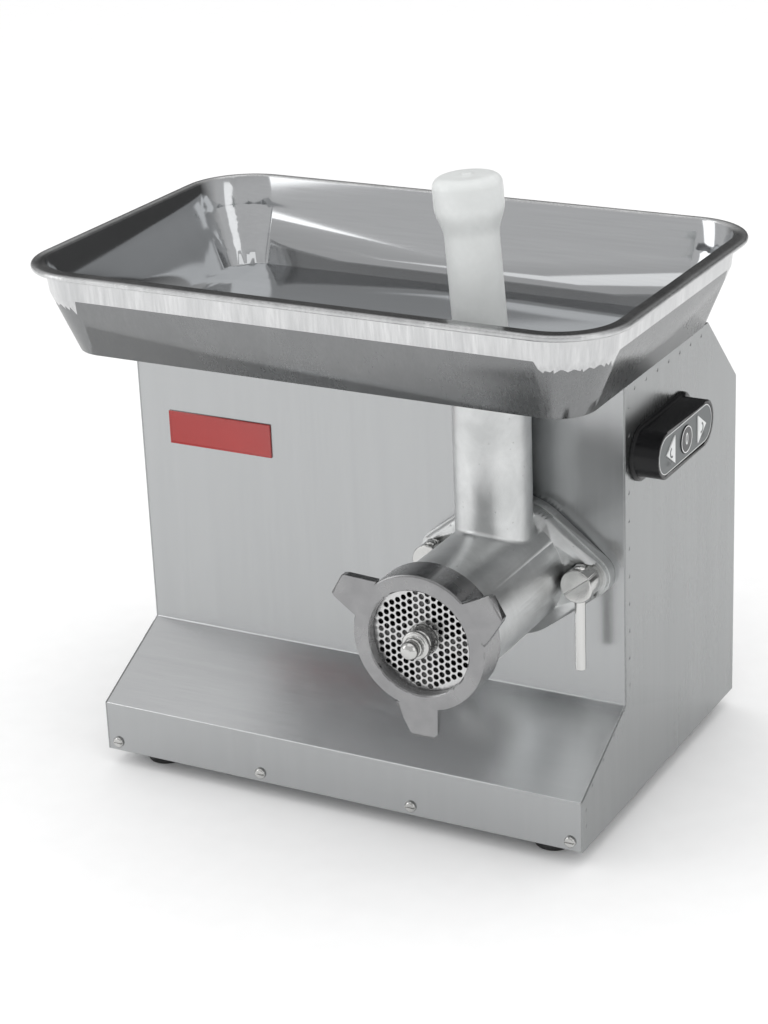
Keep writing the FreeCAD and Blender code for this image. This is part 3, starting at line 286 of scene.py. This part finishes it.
# %% Sheet, casting and turned finishes
def cast_finish(name, low, high, rough, pit_scale=110.0):
    made, tree, shader, place = start(name, Metallic=1.0)
    marks = use(tree, HANDLING, {"Vector": place, "Scale": 22.0})
    sand = node(tree, "TexNoise", {"Vector": place, "Scale": 1300.0, "Detail": 2.0})
    pits = use(tree, PITS, {"Vector": place, "Scale": pit_scale, "Size": 0.1})
    tone = node(tree, "Math", {0: marks.outputs["Mask"], 1: pits.outputs["Mask"]}, operation="SUBTRACT",
                use_clamp=True)
    tree.links.new(tint(tree, tone.outputs[0], low, high), shader.inputs["Base Color"])
    tree.links.new(blend(tree, marks.outputs["Mask"], *rough), shader.inputs["Roughness"])
    rise = node(tree, "Math", {0: pits.outputs["Mask"], 1: -3.0, 2: sand.outputs[0]}, operation="MULTIPLY_ADD")
    relief(tree, shader, rise.outputs[0], 0.00012, 0.001)
    return made


def turned_finish(name, low, high, rough, centre, flatten=(1, 0, 1), pitch=2200.0, radius=0.0005, depth=0.00003):
    made, tree, shader, place = start(name, Metallic=1.0)
    marks = use(tree, LATHE, {"Vector": place, "Centre": centre, "Flatten": flatten, "Pitch": pitch})
    touch = use(tree, HANDLING, {"Vector": place, "Scale": 30.0})
    both = node(tree, "Math", {0: marks.outputs["Rings"], 1: touch.outputs["Mask"]}, operation="MULTIPLY")
    tree.links.new(tint(tree, both.outputs[0], low, high), shader.inputs["Base Color"])
    tree.links.new(blend(tree, touch.outputs["Mask"], *rough), shader.inputs["Roughness"])
    relief(tree, shader, marks.outputs["Rings"], depth, radius)
    return made


panel_steel = steel("panel_steel", (0.4, 0.408, 0.413), (0.47, 0.478, 0.482), (0.17, 0.24), (1.0, 1.0, 0.03),
                    900.0, 0.000006, 0.4)
# The side panels are the same sheet as the others; this darker copy of the panel steel is painted shade.
side_painted_shade = steel("side_painted_shade", (0.31, 0.318, 0.32), (0.38, 0.388, 0.39), (0.2, 0.28), (1.0, 1.0, 0.03), 900.0,
                   0.000006, 0.4)
# The front cover's sloped faces look up towards the light. They get this much lighter copy of the panel steel: its
# grain runs across them, and its lighter colour is painted light.
slope_painted_light = steel("slope_painted_light", (0.72, 0.73, 0.74), (0.84, 0.85, 0.86), (0.18, 0.26), (0.03, 1.0, 1.0), 900.0,
                    0.000008, 0.4)
tray_inside = steel("tray_inside", (0.5, 0.51, 0.52), (0.6, 0.61, 0.62), (0.06, 0.1), (0.04, 1.0, 1.0), 500.0,
                    0.000003, 0.0)
tray_outside = steel("tray_outside", (0.44, 0.445, 0.45), (0.98, 0.98, 0.98), (0.12, 0.26), (1.0, 1.0, 0.02), 520.0,
                     0.00001, 0.3, radius=0.003)
# A darker copy of the tray's outer finish for the lower outer wall, which faces a little downwards: painted shade.
tray_painted_shade = steel("tray_painted_shade", (0.2, 0.204, 0.207), (0.27, 0.274, 0.276), (0.2, 0.3), (1.0, 1.0, 0.05), 500.0,
                   0.00001, 0.3, radius=0.003)
cast_steel = cast_finish("cast_steel", (0.5, 0.51, 0.51), (0.68, 0.69, 0.69), (0.3, 0.38))
gearbox_cast = cast_finish("gearbox_cast", (0.35, 0.36, 0.37), (0.55, 0.56, 0.58), (0.4, 0.6), 60.0)
head_centre = tuple(HEAD)
ring_steel = turned_finish("ring_steel", (0.26, 0.26, 0.265), (0.4, 0.4, 0.4), (0.2, 0.32), head_centre)
plate_steel = turned_finish("plate_steel", (0.5, 0.5, 0.5), (0.66, 0.66, 0.66), (0.16, 0.28), head_centre, pitch=900.0)
turned_steel = turned_finish("turned_steel", (0.5, 0.5, 0.49), (0.72, 0.72, 0.71), (0.12, 0.26), head_centre)
worm_steel = cast_finish("worm_steel", (0.12, 0.12, 0.12), (0.2, 0.2, 0.2), (0.3, 0.45))
lever_steel = steel("lever_steel", (0.55, 0.55, 0.54), (0.75, 0.75, 0.74), (0.05, 0.14), (1.0, 1.0, 0.05), 500.0)
gear_steel = turned_finish("gear_steel", (0.3, 0.3, 0.31), (0.45, 0.45, 0.46), (0.25, 0.4), head_centre)
base_steel = steel("base_steel", (0.3, 0.31, 0.32), (0.42, 0.43, 0.44), (0.3, 0.45), (1, 1, 1), 60.0)
print("metal finishes:", len(bpy.data.materials))


# %% Rubber, enamel and plastic finishes
def moulded(name, low, high, rough, scale=900.0, depth=0.00002, radius=0.0006, **settings):
    """Paint, plastic or rubber: a fine skin texture with dusty, handled patches."""
    made, tree, shader, place = start(name, **settings)
    marks = use(tree, HANDLING, {"Vector": place, "Scale": 25.0})
    skin = node(tree, "TexNoise", {"Vector": place, "Scale": scale, "Detail": 3.0})
    tone = node(tree, "Math", {0: marks.outputs["Mask"], 1: skin.outputs[0]}, operation="MULTIPLY")
    tree.links.new(tint(tree, tone.outputs[0], low, high), shader.inputs["Base Color"])
    tree.links.new(blend(tree, marks.outputs["Mask"], *rough), shader.inputs["Roughness"])
    relief(tree, shader, skin.outputs[0], depth, radius)
    return made


foot_rubber = moulded("foot_rubber", (0.012, 0.012, 0.012), (0.04, 0.04, 0.04), (0.5, 0.7), depth=0.0001)
red_plate = moulded("red_plate", (0.33, 0.008, 0.006), (0.42, 0.014, 0.01), (0.12, 0.22), Coat_Weight=0.6,
                    Coat_Roughness=0.05)
switch_black = moulded("switch_black", (0.002, 0.002, 0.0025), (0.006, 0.006, 0.007), (0.16, 0.26), radius=0.001)
switch_black.node_tree.nodes["Principled BSDF"].inputs["Specular IOR Level"].default_value = 0.3
switch_grey = moulded("switch_grey", (0.07, 0.078, 0.08), (0.11, 0.12, 0.122), (0.3, 0.42), 1500.0)
button_white = moulded("button_white", (0.6, 0.61, 0.61), (0.78, 0.79, 0.79), (0.3, 0.42))
button_black = moulded("button_black", (0.006, 0.006, 0.007), (0.012, 0.012, 0.013), (0.18, 0.3))
dark_plastic = moulded("dark_plastic", (0.02, 0.02, 0.022), (0.05, 0.05, 0.055), (0.4, 0.55))
motor_paint = moulded("motor_paint", (0.05, 0.06, 0.07), (0.1, 0.11, 0.13), (0.35, 0.5))
board_green = moulded("board_green", (0.01, 0.09, 0.03), (0.03, 0.16, 0.06), (0.3, 0.4))
pusher_white = moulded("pusher_white", (0.6, 0.615, 0.61), (0.7, 0.715, 0.71), (0.3, 0.42), 240.0, 0.00006,
                       Subsurface_Weight=0.25, Subsurface_Scale=0.01, Subsurface_Radius=(1.0, 1.0, 1.0))
FINISH = {
    "panel_steel": panel_steel, "base_steel": base_steel, "zinc_fastener": lever_steel,
    "polished_fastener": turned_steel, "foot_rubber": foot_rubber, "red_plate": red_plate,
    "tray_steel": tray_outside, "cast_steel": cast_steel, "ring_steel": ring_steel, "plate_steel": plate_steel,
    "turned_steel": turned_steel, "lever_steel": lever_steel, "worm_steel": worm_steel, "gear_steel": gear_steel,
    "bearing_steel": lever_steel, "seal_rubber": foot_rubber, "gearbox_cast": gearbox_cast,
    "motor_paint": motor_paint, "lamination": base_steel, "fan_plastic": dark_plastic,
    "switch_black": switch_black, "switch_grey": switch_grey, "button_white": button_white,
    "button_black": button_black, "board_green": board_green, "capacitor_can": gearbox_cast,
    "dark_plastic": dark_plastic, "pusher_white": pusher_white,
}
print("finishes in all:", len(bpy.data.materials))

# %% [markdown]
# ## Putting the finishes on
# Pieces inside the housing keep their CAD mesh, because only their silhouette ever shows through a louvre. Pieces
# that show get a smooth copy. The tray is brushed outside and polished inside, so its faces are sorted by which
# way they look.

# %% Finish every CAD piece
SHOWN = ["feed_tray", "head_body", "mouth_flange", "ring_nut", "cutter_plate", "spindle_bush", "spindle_nut",
         "spindle_stud", "right_knob", "left_knob", "right_lever", "left_lever", "clamp_studs", "worm", "knife",
         "cover_screws", "pusher", "switch_housing", "switch_face", "stop_button",
         "forward_button", "reverse_button", "cable_gland", "left_side_panel", "right_side_panel", "front_cover",
         "rear_cover", "top_cover"]
for name, piece in frame["nodes"].items():
    piece.data.materials.clear()
    piece.data.materials.append(FINISH[SLOT_OF[name]])
copies = {name: smooth_copy(name) for name in SHOWN}


def second_finish(piece, finish, chosen):
    """Gives a second finish to the faces for which chosen(face) is true."""
    piece.data.materials.append(finish)
    count = 0
    for face in piece.data.polygons:
        if chosen(face):
            face.material_index = len(piece.data.materials) - 1
            count += 1
    print(piece.name, "faces in", finish.name, count)


def looks_in(face):
    inward = Vector((TRAY.x - face.center.x, TRAY.y - face.center.y, 0.0))
    floor = face.normal.z > 0.9 and face.center.z < tray_high.z - 0.01
    return floor or (face.normal.z < 0.95 and face.normal.dot(inward) > 0 and face.center.z > tray_low.z + 0.0103)


def painted_shade_low(face):
    """The lower two thirds of the outer wall, with fainter grain and a darker colour that is painted shade."""
    return not looks_in(face) and face.center.z < tray_low.z + 0.62 * (tray_high.z - tray_low.z)


second_finish(copies["feed_tray"], tray_inside, looks_in)
# The side panels take the darker copy of the panel steel as painted shade.
for name in ("left_side_panel", "right_side_panel"):
    copies[name].data.materials[0] = side_painted_shade
# The lower outer wall of the tray takes the darker copy as painted shade.
second_finish(copies["feed_tray"], tray_painted_shade, painted_shade_low)
# Faces of the front cover that look up and forward take the lighter copy, as painted light.
second_finish(copies["front_cover"], slope_painted_light,
              lambda face: face.normal.z > 0.4 and face.normal.y < -0.2)

# %% [markdown]
# ## Modelling by hand
# The next pieces start as primitives of the right size and are shaped in edit mode. Two helpers do what a hand does
# each time: pick faces by the way they look, and settle a finished piece so that its place is in its mesh.

# %% Picking and settling
def pick(piece, test):
    """Opens the piece in edit mode with the faces selected for which test(face) is true."""
    only(piece)
    for item in list(piece.data.vertices) + list(piece.data.edges):
        item.select = False
    for face in piece.data.polygons:
        face.select = bool(test(face))
    bpy.ops.object.mode_set(mode="EDIT")
    bpy.ops.mesh.select_mode(type="FACE")


def settle(piece, name, finish, body, bevel=0.0, segments=2):
    """Rounds the edges, puts the piece's place into its mesh and dresses it."""
    only(piece)
    piece.name = name
    bpy.ops.object.transform_apply(location=True, rotation=True, scale=True)
    bpy.ops.object.mode_set(mode="EDIT")
    bpy.ops.mesh.select_all(action="SELECT")
    bpy.ops.mesh.normals_make_consistent(inside=False)
    bpy.ops.object.mode_set(mode="OBJECT")
    if bevel:
        bpy.ops.object.modifier_add(type="BEVEL")
        piece.modifiers[-1].width = bevel
        piece.modifiers[-1].segments = segments
        bpy.ops.object.modifier_apply(modifier=piece.modifiers[-1].name)
    bpy.ops.object.shade_smooth_by_angle(angle=math.radians(35))
    piece.data.materials.clear()
    piece.data.materials.append(finish)
    return dress(piece, body)


# %% [markdown]
# ## The badge plate
# A small enamelled plate with a raised rim is glued to the front. A box is inset and its middle pushed back, which
# leaves the rim; a small bevel then catches the light as pressed metal does. Its face is left bare.

# %% Badge plate
badge_low, badge_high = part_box("badge_plate")
bpy.ops.mesh.primitive_cube_add(size=1.0, location=(badge_low + badge_high) / 2)
badge = bpy.context.object
badge.scale = badge_high - badge_low
bpy.ops.object.transform_apply(location=False, rotation=False, scale=True)
pick(badge, lambda face: face.normal.y < -0.9)
bpy.ops.mesh.inset(thickness=0.0011)
bpy.ops.mesh.inset(thickness=0.0003)
bpy.ops.transform.translate(value=(0, (badge_high.y - badge_low.y) * 0.35, 0))
settle(badge, "badge_blank", red_plate, BODY_OF["badge_plate"], 0.00025)
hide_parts("badge_plate")
print("badge faces:", len(badge.data.polygons))

# %% [markdown]
# ## Rubber feet
# Each foot is a moulded puck with a hollow underneath and a rounded rim. Each of the four is shaped from a cylinder at
# a corner of the CAD feet by insetting its underside and pushing that in, and the four are joined into one piece.

# %% Rubber feet
feet_low, feet_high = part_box("rubber_feet")
middle_x = (feet_low.x + feet_high.x) / 2
foot_r = (max(v.co.x for v in frame["nodes"]["rubber_feet"].data.vertices if v.co.x < middle_x) - feet_low.x) / 2
tall = feet_high.z - feet_low.z
feet = []
for foot_x in (feet_low.x + foot_r, feet_high.x - foot_r):
    for foot_y in (feet_low.y + foot_r, feet_high.y - foot_r):
        bpy.ops.mesh.primitive_cylinder_add(vertices=48, radius=foot_r, depth=tall,
                                            location=(foot_x, foot_y, feet_low.z + tall / 2))
        feet.append(bpy.context.object)
        pick(feet[-1], lambda face: face.normal.z < -0.9)
        bpy.ops.transform.resize(value=(0.9, 0.9, 1.0))
        bpy.ops.mesh.inset(thickness=foot_r * 0.35)
        bpy.ops.transform.translate(value=(0, 0, tall * 0.2))
        bpy.ops.object.mode_set(mode="OBJECT")
only(feet[0])
for foot in feet:
    foot.select_set(True)
bpy.ops.object.join()
settle(feet[0], "moulded_feet", foot_rubber, BODY_OF["rubber_feet"], 0.0008)
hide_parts("rubber_feet")
print("foot radius, mm:", round(foot_r * 1000, 1))

# %% [markdown]
# ## Marks on the switch
# The switch face has a thin pale outline, a white ring and a zero on the stop button, and small ring and crescent
# marks on the two arrows. They are thin raised print: flat shapes are inset to a line and extruded by a hair.

# %% Printed marks
PRINT = 0.00012


def flat_ring(name, centre, outer, wide, finish, node_name, keep=None):
    """A thin printed ring that faces +X, or the part of it on one side of a plane."""
    bpy.ops.mesh.primitive_circle_add(vertices=64, radius=outer, fill_type="NGON", location=centre,
                                      rotation=(0, math.radians(90), 0))
    ring = bpy.context.object
    bpy.ops.object.transform_apply(location=True, rotation=True, scale=True)
    pick(ring, lambda face: True)
    bpy.ops.mesh.inset(thickness=wide)
    bpy.ops.mesh.delete(type="FACE")
    bpy.ops.mesh.select_all(action="SELECT")
    if keep:
        bpy.ops.mesh.bisect(plane_co=keep[0], plane_no=keep[1], clear_inner=True)
        bpy.ops.mesh.select_all(action="SELECT")
    bpy.ops.mesh.extrude_region_move(TRANSFORM_OT_translate={"value": (PRINT, 0, 0)})
    bpy.ops.object.mode_set(mode="OBJECT")
    return settle(ring, name, finish, BODY_OF[node_name])


stop_low, stop_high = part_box("stop_button")
stop_at = Vector((stop_high.x, (stop_low.y + stop_high.y) / 2, (stop_low.z + stop_high.z) / 2))
stop_r = (stop_high.y - stop_low.y) / 2
mark_white = moulded("mark_white", (0.7, 0.71, 0.71), (0.85, 0.86, 0.86), (0.35, 0.5))
flat_ring("stop_ring", stop_at, stop_r - 0.0002, 0.0009, mark_white, "stop_button")
bpy.ops.object.text_add(location=stop_at, rotation=(math.radians(90), 0, math.radians(90)))
zero = bpy.context.object
zero.data.body = "0"
zero.data.size = stop_r * 1.25
zero.data.align_x, zero.data.align_y = "CENTER", "CENTER"
zero.data.extrude = PRINT
zero.scale.x = 0.8
only(zero)
bpy.ops.object.convert(target="MESH")
zero = bpy.context.object
bpy.ops.object.mode_set(mode="EDIT")
bpy.ops.mesh.select_all(action="SELECT")
bpy.ops.mesh.remove_doubles(threshold=0.00001)
bpy.ops.object.mode_set(mode="OBJECT")
settle(zero, "stop_zero", mark_white, BODY_OF["stop_button"])

for label, way in (("forward_button", 1), ("reverse_button", -1)):
    low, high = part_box(label)
    away = 1 if (low.y + high.y) / 2 > stop_at.y else -1
    wide = high.y - low.y
    middle = Vector((high.x, (low.y + high.y) / 2 - away * wide * 0.12, (low.z + high.z) / 2 - 0.0005))
    flat_ring(label + "_crescent", middle, wide * 0.27, wide * 0.1, switch_grey, label, (middle, (0, away, -0.3)))
    low_end = Vector((high.x, low.y + wide * 0.5 + away * wide * 0.2, low.z + 0.0032))
    flat_ring(label + "_dot", low_end, 0.0019, 0.0006, switch_grey, label)

face_low, face_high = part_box("switch_face")
face_size = face_high - face_low
bpy.ops.mesh.primitive_plane_add(size=1.0, location=(face_high.x, *((face_low + face_high) / 2).yz),
                                 rotation=(0, math.radians(90), 0))
outline = bpy.context.object
outline.scale = (face_size.z - 0.0006, face_size.y - 0.0006, 1.0)
bpy.ops.object.transform_apply(location=True, rotation=True, scale=True)
only(outline)
bpy.ops.object.mode_set(mode="EDIT")
bpy.ops.mesh.select_all(action="SELECT")
bpy.ops.mesh.bevel(offset=face_size.z / 2 - 0.0006, affect="VERTICES", segments=16)
bpy.ops.mesh.select_mode(type="FACE")
bpy.ops.mesh.select_all(action="SELECT")
bpy.ops.mesh.inset(thickness=0.0007)
bpy.ops.mesh.delete(type="FACE")
bpy.ops.mesh.select_all(action="SELECT")
bpy.ops.mesh.extrude_region_move(TRANSFORM_OT_translate={"value": (PRINT, 0, 0)})
bpy.ops.object.mode_set(mode="OBJECT")
settle(outline, "face_outline", mark_white, BODY_OF["switch_face"])
print("outline faces:", len(outline.data.polygons))

# %% [markdown]
# ## The studio
# A pale seamless floor, a large soft light overhead, one from the left and a weaker one from the right, and a light
# grey surround that is darker low down behind the machine, so the steel has something to show.

# %% Floor, lights and surround
bpy.ops.object.select_all(action="DESELECT")
bpy.ops.mesh.primitive_plane_add(size=14.0, location=(0, 0, 0))
floor = bpy.context.object
floor.name = "studio_floor"
made, tree, shader, place = start("studio_floor_paint", Roughness=0.7)
speck = node(tree, "TexNoise", {"Vector": place, "Scale": 40.0, "Detail": 4.0})
tree.links.new(tint(tree, speck.outputs[0], (0.9, 0.9, 0.9), (0.94, 0.94, 0.94)), shader.inputs["Base Color"])
floor.data.materials.append(made)


def soft_light(name, place_at, aim, across, up, power):
    bpy.ops.object.light_add(type="AREA", location=place_at)
    lamp = bpy.context.object
    lamp.name = name
    lamp.data.shape = "RECTANGLE"
    lamp.data.size, lamp.data.size_y, lamp.data.energy = across, up, power
    lamp.rotation_euler = (Vector(aim) - Vector(place_at)).to_track_quat("-Z", "Y").to_euler()
    return lamp


soft_light("overhead", (0.2, -0.3, 2.4), (0, 0, 0.2), 2.4, 1.6, 8)
soft_light("left_window", (-2.2, -1.6, 1.3), (0, 0, 0.25), 1.4, 1.8, 12)
soft_light("right_fill", (2.4, -0.9, 1.2), (0.1, 0, 0.25), 0.9, 1.8, 4)

world = bpy.data.worlds.new("surround")
bpy.context.scene.world = world
world.use_nodes = True
sky = world.node_tree
way = node(sky, "TexCoord").outputs["Generated"]
parts = node(sky, "SeparateXYZ", {0: way})
behind = node(sky, "MapRange", {"Value": parts.outputs["Y"], "From Min": 0.1, "From Max": 0.75})
low_down = node(sky, "MapRange", {"Value": parts.outputs["Z"], "From Min": 0.85, "From Max": 0.25})
dim = node(sky, "Math", {0: behind.outputs[0], 1: low_down.outputs[0]}, operation="MULTIPLY")
level = node(sky, "MapRange", {"Value": dim.outputs[0], "To Min": 0.68, "To Max": 0.07})
top = node(sky, "MapRange", {"Value": parts.outputs["Z"], "From Min": 0.45, "From Max": 0.9, "To Min": 1.0,
                             "To Max": 0.8})
graded = node(sky, "Math", {0: level.outputs[0], 1: top.outputs[0]}, operation="MULTIPLY")
shade = node(sky, "Background", {"Color": (1, 1, 1, 1), "Strength": graded.outputs[0]})
plain = node(sky, "Background", {"Color": (1, 1, 1, 1), "Strength": 1.12})
mirrored = node(sky, "LightPath").outputs["Is Glossy Ray"]
mixed = node(sky, "MixShader", {0: mirrored, 1: plain.outputs[0], 2: shade.outputs[0]})
sky.links.new(mixed.outputs[0], sky.nodes["World Output"].inputs["Surface"])

# %% [markdown]
# ## The camera
# It looks down on the machine from the right of its front, from far enough away that the perspective is gentle. The
# distance, height and slight roll come from the direction in which the housing's edges run.

# %% Camera
WIDE = 0.460
AROUND, ABOVE, ROLL = math.radians(29.10), math.radians(21.92), math.radians(-2.41)
side = Vector((math.cos(AROUND), math.sin(AROUND), 0))
back = Vector((math.sin(AROUND) * math.cos(ABOVE), -math.cos(AROUND) * math.cos(ABOVE), math.sin(ABOVE)))
over = back.cross(side)
rolled_side = math.cos(ROLL) * side + math.sin(ROLL) * over
rolled_up = -math.sin(ROLL) * side + math.cos(ROLL) * over
housing_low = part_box("left_side_panel")[0]
aim = housing_low + Vector((0.5, 0.5, 0.5)) * WIDE
stand = aim + back * 4.997 * WIDE - rolled_side * 0.126 * WIDE - rolled_up * 0.109 * WIDE
lens = bpy.data.cameras.new("view")
camera = bpy.data.objects.new("view", lens)
bpy.context.scene.collection.objects.link(camera)
camera.matrix_world = Matrix.Translation(stand) @ Matrix((rolled_side, rolled_up, back)).transposed().to_4x4()
lens.sensor_width, lens.lens, lens.clip_end = 36.0, 90.98, 50.0
bpy.context.scene.camera = camera
bpy.context.scene.view_settings.view_transform = "Standard"
print("camera at", [round(v, 3) for v in stand])
